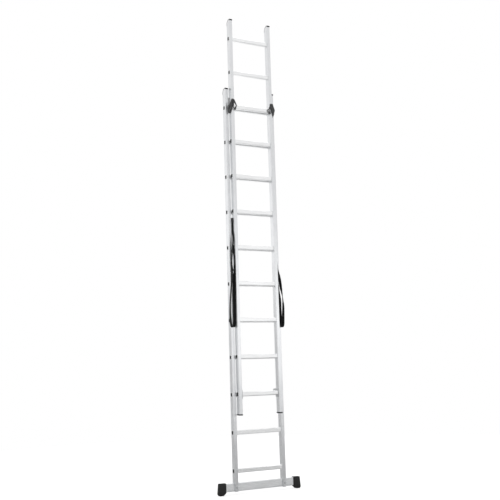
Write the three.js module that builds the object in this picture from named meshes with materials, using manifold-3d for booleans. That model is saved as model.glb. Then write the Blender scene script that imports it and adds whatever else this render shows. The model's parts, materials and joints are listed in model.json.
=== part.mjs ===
// Two-section aluminium ladder: a wide base section with a stabiliser bar,
// and a narrower fly section that slides in front of it and hooks on its rungs.
// Millimetres, +Z up the ladder, X across it, -Y the side that is climbed.
// The origin is on the floor under the middle of the ladder.
import * as THREE from 'three';
import { mergeVertices } from 'three/addons/utils/BufferGeometryUtils.js';
import Module from 'manifold-3d';

// ---- driving dimensions ------------------------------------------------

const GAP = 0.3;                  // clearance between pieces that touch

const RUNG_COUNT = 11;            // rungs in each section
const RUNG_PITCH = 280;
const RUNG_DEPTH = 26;
const RUNG_HEIGHT = 31;
const RUNG_WALL = 2;
const RUNG_FLARE = 1.4;           // lip rolled outwards round each rung end
const RUNG_BEAD = 2.2;            // bead swaged inside the stile's inner wall

const STILE_WIDTH = 25;
const STILE_DEPTH = 50;
const STILE_WALL = 1.6;
const STILE_CORNER = 2;
const STILE_TAIL = 148;           // lowest rung above the stile's lower end
const STILE_HEAD = 160;           // top of the cap above the highest rung
const HEAD_ROUND_DEPTH = 42;      // rounded rear corner of the stile's upper end
const HEAD_ROUND_HEIGHT = 32;
const CAP_THICKNESS = 4.2;
const CAP_OVERHANG = 0.6;

const BASE_WIDTH = 432;
const BASE_FRONT = 2;             // front face of the base stiles
const BASE_FIRST_RUNG = 170;      // centre of its lowest rung above the floor

const FLY_WIDTH = 366;
const FLY_BACK = 12;              // the fly nests this far into the base's depth
const FLY_RAISED = 2;             // rung pitches that the fly stands raised by
const FLY_SEAT = 4;               // a hooked rung sits this much above its partner

const BAR_HEIGHT = 60;
const BAR_DEPTH = 24;
const BAR_WALL = 2;
const BAR_BOTTOM = 24;
const BAR_HALF = 330;
const FOOT_INNER = 286;
const FOOT_OUTER = 341;
const FOOT_FLARE = 348;
const FOOT_HEIGHT = 88;
const FOOT_WALL = 4;

const STRAP_WIDTH = 32;
const STRAP_THICKNESS = 2;

// ---- places worked out from them ---------------------------------------

const BASE_BACK = BASE_FRONT + STILE_DEPTH;
const BASE_MID_Y = BASE_FRONT + STILE_DEPTH / 2;
const BASE_BOTTOM = BASE_FIRST_RUNG - STILE_TAIL;
const BASE_TOP_RUNG = BASE_FIRST_RUNG + RUNG_PITCH * (RUNG_COUNT - 1);
const BASE_INNER_X = BASE_WIDTH / 2 - STILE_WIDTH;
const BASE_STILE_X = BASE_WIDTH / 2 - STILE_WIDTH / 2;

const FLY_FRONT = FLY_BACK - STILE_DEPTH;
const FLY_MID_Y = FLY_BACK - STILE_DEPTH / 2;
const FLY_FIRST_RUNG = BASE_FIRST_RUNG + FLY_RAISED * RUNG_PITCH + FLY_SEAT;
const FLY_BOTTOM = FLY_FIRST_RUNG - STILE_TAIL;
const FLY_OUTER_X = FLY_WIDTH / 2;
const FLY_INNER_X = FLY_WIDTH / 2 - STILE_WIDTH;
const FLY_STILE_X = FLY_WIDTH / 2 - STILE_WIDTH / 2;

const STILE_LENGTH = STILE_TAIL + RUNG_PITCH * (RUNG_COUNT - 1) + STILE_HEAD
  - CAP_THICKNESS - GAP;

// ---- materials ---------------------------------------------------------

const extruded = { color: 0xc9ccce, roughness: 0.38, metalness: 0.9 };
const rungMetal = { color: 0xd3d5d6, roughness: 0.42, metalness: 0.9 };
const plastic = { color: 0x1b1b1c, roughness: 0.6, metalness: 0 };
const webbing = { color: 0x131314, roughness: 0.95, metalness: 0 };
const zinc = { color: 0x9a9da0, roughness: 0.35, metalness: 1 };
const blackened = { color: 0x242526, roughness: 0.5, metalness: 0.6 };

// ---- solids ------------------------------------------------------------

const wasm = await Module();
wasm.setup();

// A closed geometry as a manifold solid, keeping only its positions.
function solid(geometry) {
  const bare = new THREE.BufferGeometry();
  bare.setAttribute('position', geometry.getAttribute('position').clone());
  if (geometry.index) bare.setIndex(geometry.index.clone());
  const merged = mergeVertices(bare, 1e-4);
  return new wasm.Manifold(new wasm.Mesh({
    numProp: 3,
    vertProperties: new Float32Array(merged.getAttribute('position').array),
    triVerts: new Uint32Array(merged.index.array),
  }));
}

function geometryOf(manifold) {
  const mesh = manifold.getMesh();
  const geometry = new THREE.BufferGeometry();
  geometry.setAttribute('position', new THREE.BufferAttribute(mesh.vertProperties, 3));
  geometry.setIndex(new THREE.BufferAttribute(mesh.triVerts, 1));
  const flat = geometry.toNonIndexed();
  flat.computeVertexNormals();
  return flat;
}

// Joins the first shapes and cuts the later ones away.
function build(joined, cut = []) {
  const sum = joined.map(solid).reduce((whole, next) => whole.add(next));
  return geometryOf(cut.map(solid).reduce((rest, tool) => rest.subtract(tool), sum));
}

// The same piece for the other side of the ladder.
function mirrored(geometry) {
  const other = geometry.index ? geometry.toNonIndexed() : geometry.clone();
  other.scale(-1, 1, 1);
  const place = other.getAttribute('position');
  const corner = new THREE.Vector3();
  const swapped = new THREE.Vector3();
  for (let i = 0; i < place.count; i += 3) {
    corner.fromBufferAttribute(place, i + 1);
    swapped.fromBufferAttribute(place, i + 2);
    place.setXYZ(i + 1, swapped.x, swapped.y, swapped.z);
    place.setXYZ(i + 2, corner.x, corner.y, corner.z);
  }
  other.computeVertexNormals();
  return other;
}

// ---- outlines ----------------------------------------------------------

// A rectangle round (0, 0) with its corners cut at 45 degrees.
function chamfered(width, height, corner) {
  const x = width / 2;
  const y = height / 2;
  return new THREE.Shape([
    new THREE.Vector2(-x + corner, -y),
    new THREE.Vector2(x - corner, -y),
    new THREE.Vector2(x, -y + corner),
    new THREE.Vector2(x, y - corner),
    new THREE.Vector2(x - corner, y),
    new THREE.Vector2(-x + corner, y),
    new THREE.Vector2(-x, y - corner),
    new THREE.Vector2(-x, -y + corner),
  ]);
}

function polygon(points) {
  return new THREE.Shape(points.map(([x, y]) => new THREE.Vector2(x, y)));
}

// A polygon whose corners are rounded by arcs of the radius given.
function rounded(points, radius, steps = 3) {
  const corners = points.map(([x, y]) => new THREE.Vector2(x, y));
  const outline = [];
  corners.forEach((corner, i) => {
    const before = corners[(i + corners.length - 1) % corners.length];
    const after = corners[(i + 1) % corners.length];
    const from = before.clone().sub(corner).setLength(radius).add(corner);
    const to = after.clone().sub(corner).setLength(radius).add(corner);
    const arc = new THREE.QuadraticBezierCurve(from, corner, to);
    outline.push(...arc.getPoints(steps));
  });
  return new THREE.Shape(outline);
}

function circle(radius, x = 0, y = 0) {
  return new THREE.Shape().absarc(x, y, radius, 0, Math.PI * 2, false);
}

// ---- extrusions --------------------------------------------------------

function extrude(shape, length, segments = 6) {
  return new THREE.ExtrudeGeometry(shape, {
    depth: length,
    bevelEnabled: false,
    curveSegments: segments,
  });
}

// The outline's own x and y become the axes named, and it runs from low to high.
function alongZ(shape, low, high, segments) {
  return extrude(shape, high - low, segments).translate(0, 0, low);
}

function alongX(shape, low, high, segments) {
  const turn = new THREE.Matrix4().makeBasis(
    new THREE.Vector3(0, 1, 0),
    new THREE.Vector3(0, 0, 1),
    new THREE.Vector3(1, 0, 0),
  );
  return extrude(shape, high - low, segments).applyMatrix4(turn).translate(low, 0, 0);
}

// Outlines for this one are drawn in x and z, as seen from the climbing side.
function alongY(shape, low, high, segments) {
  const turn = new THREE.Matrix4().makeBasis(
    new THREE.Vector3(1, 0, 0),
    new THREE.Vector3(0, 0, 1),
    new THREE.Vector3(0, -1, 0),
  );
  return extrude(shape, high - low, segments).applyMatrix4(turn).translate(0, high, 0);
}

function box(x0, x1, y0, y1, z0, z1) {
  const block = new THREE.BoxGeometry(x1 - x0, y1 - y0, z1 - z0);
  return block.translate((x0 + x1) / 2, (y0 + y1) / 2, (z0 + z1) / 2);
}

function boxWithHole(outer, inner) {
  outer.holes.push(inner);
  return outer;
}

// ---- scene graph -------------------------------------------------------

const ladder = new THREE.Group();

function add(name, geometry, look, x = 0, y = 0, z = 0) {
  const mesh = new THREE.Mesh(geometry, new THREE.MeshStandardMaterial(look));
  mesh.name = name;
  mesh.position.set(x, y, z);
  ladder.add(mesh);
}

// Adds a piece drawn for the left side, and its mirror image for the right.
function addPair(name, left, look) {
  add(`${name}_left`, left, look);
  add(`${name}_right`, mirrored(left), look);
}

// ---- rungs -------------------------------------------------------------

// A hollow bar along X, with a lip over each stile's outer face
// and a bead against each stile's inner face.
function rung(sectionWidth) {
  const outer = () => chamfered(RUNG_DEPTH, RUNG_HEIGHT, 3);
  const bore = () => chamfered(RUNG_DEPTH - 2 * RUNG_WALL, RUNG_HEIGHT - 2 * RUNG_WALL, 2);
  const ring = (growth) => boxWithHole(
    chamfered(RUNG_DEPTH + 2 * growth, RUNG_HEIGHT + 2 * growth, 3 + growth / 2),
    bore(),
  );
  const lipStart = sectionWidth / 2 + GAP;
  const beadEnd = sectionWidth / 2 - STILE_WIDTH - GAP;
  return build([
    alongX(boxWithHole(outer(), bore()), -lipStart - RUNG_FLARE, lipStart + RUNG_FLARE),
    alongX(ring(RUNG_FLARE), lipStart, lipStart + RUNG_FLARE),
    alongX(ring(RUNG_FLARE), -lipStart - RUNG_FLARE, -lipStart),
    alongX(ring(RUNG_BEAD), beadEnd - 3, beadEnd),
    alongX(ring(RUNG_BEAD), -beadEnd, -beadEnd + 3),
  ]);
}

function rungHeight(firstRung, index) {
  return firstRung + RUNG_PITCH * index;
}

function addRungs(section, width, midY, firstRung) {
  const geometry = rung(width);
  for (let i = 0; i < RUNG_COUNT; i += 1) {
    const number = String(i + 1).padStart(2, '0');
    add(`${section}_rung_${number}`, geometry.clone(), rungMetal,
      0, midY, rungHeight(firstRung, i));
  }
}

addRungs('base', BASE_WIDTH, BASE_MID_Y, BASE_FIRST_RUNG);
addRungs('fly', FLY_WIDTH, FLY_MID_Y, FLY_FIRST_RUNG);

// ---- stiles ------------------------------------------------------------

// Side view of a stile's upper end: square in front, rounded at the rear.
// The outline is in y and z about the stile's mid-depth, with its top at z = 0.
function headOutline(below, depth, lift = 0) {
  const front = -depth / 2;
  const back = depth / 2;
  const points = [[front, -below], [back, -below]];
  const steps = 7;
  for (let i = 0; i <= steps; i += 1) {
    const angle = (Math.PI / 2) * (i / steps);
    points.push([
      back - HEAD_ROUND_DEPTH * (1 - Math.cos(angle)),
      -HEAD_ROUND_HEIGHT * (1 - Math.sin(angle)) + lift,
    ]);
  }
  points.push([front, lift]);
  return polygon(points);
}

// A stile about its own axis, from z = 0 to its rounded upper end.
function stile(cuts = []) {
  const holes = [];
  const hole = chamfered(RUNG_DEPTH + 2 * GAP, RUNG_HEIGHT + 2 * GAP, 3);
  for (let i = 0; i < RUNG_COUNT; i += 1) {
    const height = rungHeight(STILE_TAIL, i);
    holes.push(alongX(hole, -STILE_WIDTH, STILE_WIDTH).translate(0, 0, height));
  }
  const tube = boxWithHole(
    chamfered(STILE_WIDTH, STILE_DEPTH, STILE_CORNER),
    chamfered(STILE_WIDTH - 2 * STILE_WALL, STILE_DEPTH - 2 * STILE_WALL, 0.8),
  );
  const blank = solid(alongZ(tube, 0, STILE_LENGTH));
  const head = headOutline(STILE_LENGTH + 10, STILE_DEPTH + 10);
  const trim = alongX(head, -STILE_WIDTH, STILE_WIDTH).translate(0, -5, STILE_LENGTH);
  const shaped = blank.intersect(solid(trim));
  const tools = [...holes, ...cuts].map(solid);
  return geometryOf(tools.reduce((rest, tool) => rest.subtract(tool), shaped));
}

// The bar passes through a slot that is open at the foot of each base stile.
const barMidY = BASE_MID_Y;
const barFront = barMidY - BAR_DEPTH / 2;
const barBack = barMidY + BAR_DEPTH / 2;
const barMidZ = BAR_BOTTOM + BAR_HEIGHT / 2;
const BOLT_HOLE = 4.3;

const barSlot = box(
  -STILE_WIDTH, STILE_WIDTH,
  -BAR_DEPTH / 2 - GAP, BAR_DEPTH / 2 + GAP,
  -10, BAR_BOTTOM + BAR_HEIGHT + GAP - BASE_BOTTOM,
);
const boltHoleInStile = alongY(circle(BOLT_HOLE), -STILE_DEPTH, 0)
  .translate(0, 0, barMidZ - BASE_BOTTOM);

// Two rivets hold each guide bracket to the inner wall of its base stile.
const RIVET_Y = 25;
const RIVET_Z = [BASE_TOP_RUNG + 42, BASE_TOP_RUNG + 68];
const RIVET_HOLE = 2.8;
const rivetHoles = (outward) => RIVET_Z.map((z) => alongX(circle(RIVET_HOLE), 0, STILE_WIDTH)
  .translate(outward < 0 ? 0 : -STILE_WIDTH, RIVET_Y - BASE_MID_Y, z - BASE_BOTTOM));

add('base_stile_left', stile([barSlot, boltHoleInStile, ...rivetHoles(-1)]), extruded,
  -BASE_STILE_X, BASE_MID_Y, BASE_BOTTOM);
add('base_stile_right', stile([barSlot, boltHoleInStile, ...rivetHoles(1)]), extruded,
  BASE_STILE_X, BASE_MID_Y, BASE_BOTTOM);

const flyStile = stile();
add('fly_stile_left', flyStile, extruded, -FLY_STILE_X, FLY_MID_Y, FLY_BOTTOM);
add('fly_stile_right', flyStile.clone(), extruded, FLY_STILE_X, FLY_MID_Y, FLY_BOTTOM);

// ---- caps on the stile ends --------------------------------------------

const PLUG_CLEARANCE = 0.4;
const PLUG_LENGTH = 60;

function plug(low, high) {
  const fit = 2 * (STILE_WALL + PLUG_CLEARANCE);
  return alongZ(chamfered(STILE_WIDTH - fit, STILE_DEPTH - fit, 1), low, high);
}

// A thin rim that follows the stile's rounded end, with a plug inside the tube.
function topCap() {
  const width = STILE_WIDTH / 2 + CAP_OVERHANG;
  const outline = headOutline(HEAD_ROUND_HEIGHT, STILE_DEPTH, CAP_THICKNESS + GAP);
  const rim = solid(alongX(outline, -width, width));
  const below = solid(alongX(headOutline(200, STILE_DEPTH + 10, GAP), -width - 1, width + 1)
    .translate(0, -5, 0));
  const thin = rim.subtract(below);
  const stem = solid(plug(-PLUG_LENGTH, 0));
  const under = solid(alongX(headOutline(PLUG_LENGTH + 1, STILE_DEPTH, 1), -width, width));
  return geometryOf(thin.add(stem.intersect(under)));
}

// A flat sole under the fly stile, with a plug inside the tube.
function soleCap() {
  const sole = chamfered(STILE_WIDTH + 2, STILE_DEPTH + 2, STILE_CORNER);
  return build([alongZ(sole, -9.3, -GAP), plug(-1, 35)]);
}

function addCaps(name, geometry, stileX, midY, z) {
  add(`${name}_left`, geometry, plastic, -stileX, midY, z);
  add(`${name}_right`, geometry.clone(), plastic, stileX, midY, z);
}

addCaps('base_top_cap', topCap(), BASE_STILE_X, BASE_MID_Y, BASE_BOTTOM + STILE_LENGTH);
addCaps('fly_top_cap', topCap(), FLY_STILE_X, FLY_MID_Y, FLY_BOTTOM + STILE_LENGTH);
addCaps('fly_sole_cap', soleCap(), FLY_STILE_X, FLY_MID_Y, FLY_BOTTOM);

// ---- stabiliser bar, its end feet and its bolts ------------------------

const BOLT_RADIUS = 4;
const BOLT_HEAD_RADIUS = 9;
const NUT_RADIUS = 7.5;

const barTube = boxWithHole(
  chamfered(BAR_DEPTH, BAR_HEIGHT, 3),
  chamfered(BAR_DEPTH - 2 * BAR_WALL, BAR_HEIGHT - 2 * BAR_WALL, 2),
);
const boltHolesInBar = [-1, 1].map((side) => alongY(circle(BOLT_HOLE), -BAR_DEPTH, BAR_DEPTH)
  .translate(side * BASE_STILE_X, 0, 0));
add('stabiliser_bar', build([alongX(barTube, -BAR_HALF, BAR_HALF)], boltHolesInBar), extruded,
  0, barMidY, barMidZ);

function foot() {
  const body = rounded([
    [-FOOT_INNER, FOOT_HEIGHT],
    [-FOOT_OUTER, FOOT_HEIGHT],
    [-FOOT_FLARE, 12],
    [-FOOT_FLARE + 9, 0],
    [-FOOT_INNER - 22, 0],
    [-FOOT_INNER, 20],
  ], 3, 2);
  const socket = chamfered(BAR_DEPTH + 2 * GAP, BAR_HEIGHT + 2 * GAP, 3);
  return build(
    [alongY(body, barFront - FOOT_WALL, barBack + FOOT_WALL)],
    [alongX(socket, -BAR_HALF - GAP, -FOOT_INNER + 5).translate(0, barMidY, barMidZ)],
  );
}
addPair('bar_foot', foot(), plastic);

// A domed bolt through the stile's front wall and the bar, with its nut inside the stile.
function barBolt() {
  const headRear = BASE_FRONT - GAP;
  const dome = new THREE.LatheGeometry([
    new THREE.Vector2(0, -4.6),
    new THREE.Vector2(5, -4.1),
    new THREE.Vector2(8, -2.6),
    new THREE.Vector2(BOLT_HEAD_RADIUS, 0),
    new THREE.Vector2(0, 0),
  ], 16).translate(0, headRear, 0);
  return build([dome, alongY(circle(BOLT_RADIUS), headRear - 1, barBack + 8, 4)])
    .translate(-BASE_STILE_X, 0, barMidZ);
}
addPair('bar_bolt', barBolt(), zinc);

function barNut() {
  const points = [];
  for (let i = 0; i < 6; i += 1) {
    const angle = (Math.PI / 3) * i;
    points.push([NUT_RADIUS * Math.cos(angle), NUT_RADIUS * Math.sin(angle)]);
  }
  const hexagon = boxWithHole(polygon(points), circle(BOLT_RADIUS + GAP));
  return alongY(hexagon, barBack + GAP, barBack + 6.8, 4)
    .translate(-BASE_STILE_X, 0, barMidZ);
}
addPair('bar_nut', barNut(), zinc);

// ---- guide brackets at the top of the base -----------------------------

// Each one is riveted inside its base stile, comes down and forward through the gap
// between the sections as a slotted band, and wraps the fly stile's outer front corner.
const CHEEK_OUT = -(BASE_INNER_X - GAP);
const CHEEK_IN = CHEEK_OUT + 3;
const GUIDE_FRONT = FLY_FRONT - 7.5;
const GUIDE_BACK = FLY_FRONT - 2;
const GUIDE_HIGH = BASE_TOP_RUNG + 60;
const GUIDE_LOW = BASE_TOP_RUNG - 50;
const SHOULDER_OUT = CHEEK_OUT - 3.8;
const EAR = 8;                    // how far the front plate stands out beyond the shoulder

const PIVOT_X = -FLY_STILE_X + 4.5;
const PIVOT_Z = BASE_TOP_RUNG + 42;
const PIN_RADIUS = 3;
const LATCH_BACK = GUIDE_FRONT - GAP;
const LATCH_FRONT = LATCH_BACK - 4.4;

function guideBracket() {
  const cheek = rounded([
    [44, BASE_TOP_RUNG + 28],
    [44, BASE_TOP_RUNG + 82],
    [4, BASE_TOP_RUNG + 82],
    [2, BASE_TOP_RUNG + 12],
    [-2, BASE_TOP_RUNG + 9],
    [-31, BASE_TOP_RUNG + 28],
    [GUIDE_FRONT, BASE_TOP_RUNG + 40],
    [GUIDE_FRONT, BASE_TOP_RUNG - 30],
    [-31, BASE_TOP_RUNG - 41],
    [-23, GUIDE_LOW],
    [-6, GUIDE_LOW],
    [3, BASE_TOP_RUNG - 44],
    [9, BASE_TOP_RUNG - 34],
    [9, BASE_TOP_RUNG + 28],
  ], 2, 2);
  const shoulder = rounded([
    [BASE_FRONT - 5, GUIDE_LOW + 10],
    [BASE_FRONT - 5, BASE_TOP_RUNG + 7],
    [-30, BASE_TOP_RUNG + 26],
    [GUIDE_FRONT, BASE_TOP_RUNG + 35],
    [GUIDE_FRONT, BASE_TOP_RUNG - 28],
    [-30, BASE_TOP_RUNG - 38],
    [-22, GUIDE_LOW + 3],
    [-7, GUIDE_LOW + 3],
  ], 2, 2);
  const front = rounded([
    [SHOULDER_OUT - EAR, BASE_TOP_RUNG + 9],
    [SHOULDER_OUT, BASE_TOP_RUNG - 20],
    [CHEEK_IN - 1, BASE_TOP_RUNG - 34],
    [-FLY_OUTER_X + 2, BASE_TOP_RUNG - 32],
    [-FLY_OUTER_X + 7, BASE_TOP_RUNG + 2],
    [-FLY_OUTER_X + 9, BASE_TOP_RUNG + 31],
    [PIVOT_X + 9, BASE_TOP_RUNG + 31],
    [PIVOT_X + 9, BASE_TOP_RUNG + 52],
    [PIVOT_X + 2, GUIDE_HIGH],
    [-FLY_OUTER_X - 1, GUIDE_HIGH],
    [SHOULDER_OUT, BASE_TOP_RUNG + 30],
  ], 2, 2);
  const slot = rounded([
    [GUIDE_FRONT + 6.5, BASE_TOP_RUNG + 6],
    [-22, BASE_TOP_RUNG - 26],
    [-17, BASE_TOP_RUNG - 8],
    [GUIDE_FRONT + 8, BASE_TOP_RUNG + 26],
  ], 2.5, 2);
  const holes = RIVET_Z.map((z) => alongX(circle(RIVET_HOLE), CHEEK_OUT - 2, CHEEK_IN + 2, 4)
    .translate(0, RIVET_Y, z));
  return build(
    [
      alongX(cheek, CHEEK_OUT, CHEEK_IN),
      alongX(shoulder, SHOULDER_OUT, CHEEK_OUT + 1),
      alongY(front, GUIDE_FRONT, GUIDE_BACK),
    ],
    [
      alongX(slot, SHOULDER_OUT - 2, CHEEK_IN + 2),
      alongY(circle(PIN_RADIUS + GAP, PIVOT_X, PIVOT_Z), GUIDE_FRONT - 5, GUIDE_BACK + 5, 4),
      ...holes,
    ],
  );
}
addPair('guide_bracket', guideBracket(), plastic);

// A low-headed rivet along X, with its tail set inside the base stile.
function rivet(z) {
  const wall = -(BASE_INNER_X + STILE_WALL);
  const profile = new THREE.LatheGeometry([
    new THREE.Vector2(0, 0),
    new THREE.Vector2(3.6, 0),
    new THREE.Vector2(3.6, 1.4),
    new THREE.Vector2(2.4, 1.4),
    new THREE.Vector2(2.4, CHEEK_IN + GAP - wall + 1.7),
    new THREE.Vector2(4.6, CHEEK_IN + GAP - wall + 1.7),
    new THREE.Vector2(3, CHEEK_IN + GAP - wall + 2.9),
    new THREE.Vector2(0, CHEEK_IN + GAP - wall + 2.9),
  ], 10);
  return profile.rotateZ(-Math.PI / 2).translate(wall - 1.7, RIVET_Y, z);
}
addPair('guide_rivet_lower', build([rivet(RIVET_Z[0])]), zinc);
addPair('guide_rivet_upper', build([rivet(RIVET_Z[1])]), zinc);

// ---- latch levers ------------------------------------------------------

// A triangular finger ring that hangs from its pivot in front of the fly stile.
// The claw behind it holds the stile's inner front corner.
function latchLever() {
  const ring = rounded([
    [PIVOT_X - 4, PIVOT_Z + 9],
    [PIVOT_X + 7, PIVOT_Z + 7],
    [PIVOT_X + 25, PIVOT_Z - 34],
    [PIVOT_X + 12, PIVOT_Z - 74],
    [PIVOT_X - 11, PIVOT_Z - 52],
    [PIVOT_X - 9, PIVOT_Z],
  ], 5, 3);
  const finger = rounded([
    [PIVOT_X + 2, PIVOT_Z - 14],
    [PIVOT_X + 17, PIVOT_Z - 36],
    [PIVOT_X + 8, PIVOT_Z - 65],
    [PIVOT_X - 4, PIVOT_Z - 50],
  ], 3, 3);
  const clawX = -FLY_INNER_X + 3.5;
  return build(
    [
      alongY(ring, LATCH_FRONT, LATCH_BACK),
      box(clawX, clawX + 6, LATCH_FRONT + 1, FLY_FRONT + 8, PIVOT_Z - 66, PIVOT_Z - 40),
    ],
    [
      alongY(finger, LATCH_FRONT - 2, FLY_FRONT + 20),
      alongY(circle(PIN_RADIUS + GAP, PIVOT_X, PIVOT_Z), LATCH_FRONT - 2, LATCH_BACK + 2, 4),
    ],
  );
}
addPair('latch_lever', latchLever(), plastic);

function latchPin() {
  const pin = new THREE.LatheGeometry([
    new THREE.Vector2(0, 0),
    new THREE.Vector2(5.4, 0),
    new THREE.Vector2(5.4, 1.4),
    new THREE.Vector2(PIN_RADIUS, 1.4),
    new THREE.Vector2(PIN_RADIUS, 11.4),
    new THREE.Vector2(0, 11.4),
  ], 16);
  return build([pin]).translate(PIVOT_X, LATCH_FRONT - 1.8, PIVOT_Z);
}
addPair('latch_pin', latchPin(), blackened);

// ---- rung hooks at the foot of the fly ---------------------------------

// A plate against the fly stile's inner face, with a window for the first rung
// and an arm that reaches back over the base rung beside it.
function rungHook() {
  const seat = BASE_FIRST_RUNG + FLY_RAISED * RUNG_PITCH + RUNG_HEIGHT / 2 + 0.8;
  const armTop = seat + 20;
  const backOfRung = BASE_MID_Y + RUNG_DEPTH / 2;
  const plate = rounded([
    [FLY_FRONT + 2, FLY_FIRST_RUNG - 34],
    [FLY_BACK - 1, FLY_FIRST_RUNG - 34],
    [FLY_BACK - 1, seat],
    [backOfRung + 1.5, seat],
    [backOfRung + 1.5, seat - 30],
    [BASE_BACK - 2.5, seat - 30],
    [BASE_BACK - 2.5, armTop - 5],
    [FLY_BACK - 1, armTop],
    [FLY_FRONT + 2, armTop],
  ], 1.4, 2);
  const window = chamfered(RUNG_DEPTH + 2 * RUNG_BEAD + 1.2, RUNG_HEIGHT + 2 * RUNG_BEAD + 1.2, 4);
  return build(
    [alongX(plate, -FLY_INNER_X + GAP, -FLY_INNER_X + GAP + 4)],
    [alongX(window, -FLY_INNER_X - 5, -FLY_INNER_X + 10)
      .translate(0, FLY_MID_Y, FLY_FIRST_RUNG)],
  );
}
addPair('rung_hook', rungHook(), zinc);

// ---- spreader straps ---------------------------------------------------

// The centre line of each strap: from its anchor on the base stile it hangs down
// in a loop in front of the stile, and comes back up beside the fly.
const STRAP_X = 187.2;            // where a strap lies in the gap between the sections
const STRAP_TOP = 2077;
const STRAP_STATIONS = 46;
const LEFT_ROUTE = [
  [-STRAP_X, 2, STRAP_TOP],
  [-STRAP_X, 2, 2035],
  [-185.4, 2, 1998],
  [-185.6, -1, 1965],
  [-187.6, -9, 1936],
  [-190.4, -15.5, 1912],
  [-194, -19, 1880],
  [-199, -20, 1846],
  [-203, -20, 1812],
  [-206, -20, 1777],
  [-209, -20, 1746],
  [-210, -20, 1715],
  [-208.8, -20, 1684],
  [-209.5, -20, 1630],
  [-213.5, -20, 1580],
  [-219.7, -20, 1531],
  [-225, -20, 1485],
  [-229, -20, 1440],
  [-232, -20, 1390],
  [-232.8, -20, 1348],
  [-231.5, -20, 1290],
  [-228, -20, 1260],
  [-221, -20, 1242],
  [-212.5, -20, 1236.5],
  [-204, -20, 1242],
  [-198.5, -20, 1260],
  [-196.8, -20, 1290],
  [-196, -20, 1348],
  [-195, -20, 1400],
  [-194, -20, 1450],
  [-193.3, -20, 1500],
  [-192, -20, 1540],
  [-191.5, -20, 1590],
  [-190.6, -20, 1625],
  [-STRAP_X, -22, 1658],
  [-STRAP_X, -22.5, 1676],
  [-STRAP_X, -23, 1694],
  [-188.5, -24, 1722],
  [-188.5, -23, 1755],
  [-188, -20, 1785],
  [-187.5, -14, 1812],
  [-STRAP_X, -10, 1862],
];
const RIGHT_ROUTE = [
  [STRAP_X, 2, STRAP_TOP],
  [STRAP_X, 2, 2030],
  [188.2, 1, 1950],
  [189.2, -5.5, 1885],
  [189.2, -6, 1790],
  [189.2, -12, 1718],
  [190.2, -16, 1686],
  [194.8, -20, 1660],
  [200.8, -20, 1632],
  [206.6, -20, 1601],
  [211.3, -20, 1569],
  [215.9, -20, 1538],
  [221.4, -20, 1506],
  [226.3, -20, 1475],
  [229, -20, 1443],
  [230.5, -20, 1412],
  [230.3, -20, 1381],
  [228.6, -20, 1349],
  [227, -20, 1318],
  [225.5, -20, 1287],
  [224.2, -20, 1262],
  [221, -20, 1241],
  [213.5, -20, 1234],
  [206, -20, 1241],
  [202.5, -20, 1264],
  [202.5, -20, 1290],
  [202.6, -20, 1318],
  [201.8, -20, 1349],
  [201.4, -20, 1381],
  [202, -20, 1412],
  [201.7, -20, 1443],
  [198.8, -20, 1475],
  [194, -20, 1506],
  [190.8, -19, 1537],
  [188.4, -16, 1568],
  [STRAP_X, -13, 1592],
  [187, -12.5, 1620],
  [186.4, -12, 1650],
  [186.4, -12, 1760],
  [186.4, -12, 1862],
];

// A flat band swept along its route with its width towards Y.
function strap(route) {
  const curve = new THREE.CatmullRomCurve3(
    route.map(([x, y, z]) => new THREE.Vector3(x, y, z)), false, 'centripetal');
  const wide = new THREE.Vector3(0, STRAP_WIDTH / 2, 0);
  const positions = [];
  for (let i = 0; i <= STRAP_STATIONS; i += 1) {
    const centre = curve.getPointAt(i / STRAP_STATIONS);
    const along = curve.getTangentAt(i / STRAP_STATIONS).setY(0).normalize();
    const thick = new THREE.Vector3(along.z, 0, -along.x).multiplyScalar(STRAP_THICKNESS / 2);
    for (const [w, t] of [[1, 1], [-1, 1], [-1, -1], [1, -1]]) {
      const corner = centre.clone().addScaledVector(wide, w).addScaledVector(thick, t);
      positions.push(corner.x, corner.y, corner.z);
    }
  }
  const faces = [0, 1, 2, 0, 2, 3];
  for (let i = 0; i < STRAP_STATIONS; i += 1) {
    for (let side = 0; side < 4; side += 1) {
      const a = 4 * i + side;
      const b = 4 * i + ((side + 1) % 4);
      faces.push(a, b + 4, b, a, a + 4, b + 4);
    }
  }
  const end = 4 * STRAP_STATIONS;
  faces.push(end, end + 2, end + 1, end, end + 3, end + 2);
  const band = new THREE.BufferGeometry();
  band.setAttribute('position', new THREE.Float32BufferAttribute(positions, 3));
  band.setIndex(faces);
  return band;
}
add('spreader_strap_left', build([strap(LEFT_ROUTE)]), webbing);
add('spreader_strap_right', build([strap(RIGHT_ROUTE)]), webbing);

// The strap's upper end is held on the base stile's inner face.
const wallGap = BASE_INNER_X - GAP;
const strapFace = STRAP_X + STRAP_THICKNESS / 2;
const upperAnchor = rounded([
  [-13, STRAP_TOP - 32],
  [22, STRAP_TOP - 32],
  [22, STRAP_TOP + 6],
  [-13, STRAP_TOP + 6],
], 3, 2);
addPair('strap_anchor', build([alongX(upperAnchor, -wallGap, -strapFace - GAP)]), blackened);

// The clip on each strap's inner run, and the plate on the fly that it belongs to.
const CLIP_LENGTH = 39;
const CLIP_HALF = 8;
const CLIPS = { left: [-42, 1676], right: [-32, 1614] };
for (const [side, [front, height]] of Object.entries(CLIPS)) {
  const clip = rounded([
    [front, height - CLIP_HALF],
    [front + CLIP_LENGTH, height - CLIP_HALF],
    [front + CLIP_LENGTH, height + CLIP_HALF],
    [front, height + CLIP_HALF],
  ], 3, 2);
  const band = alongX(clip, strapFace + GAP, wallGap);
  add(`strap_clip_${side}`, side === 'left' ? mirrored(build([band])) : build([band]), plastic);
}

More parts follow.
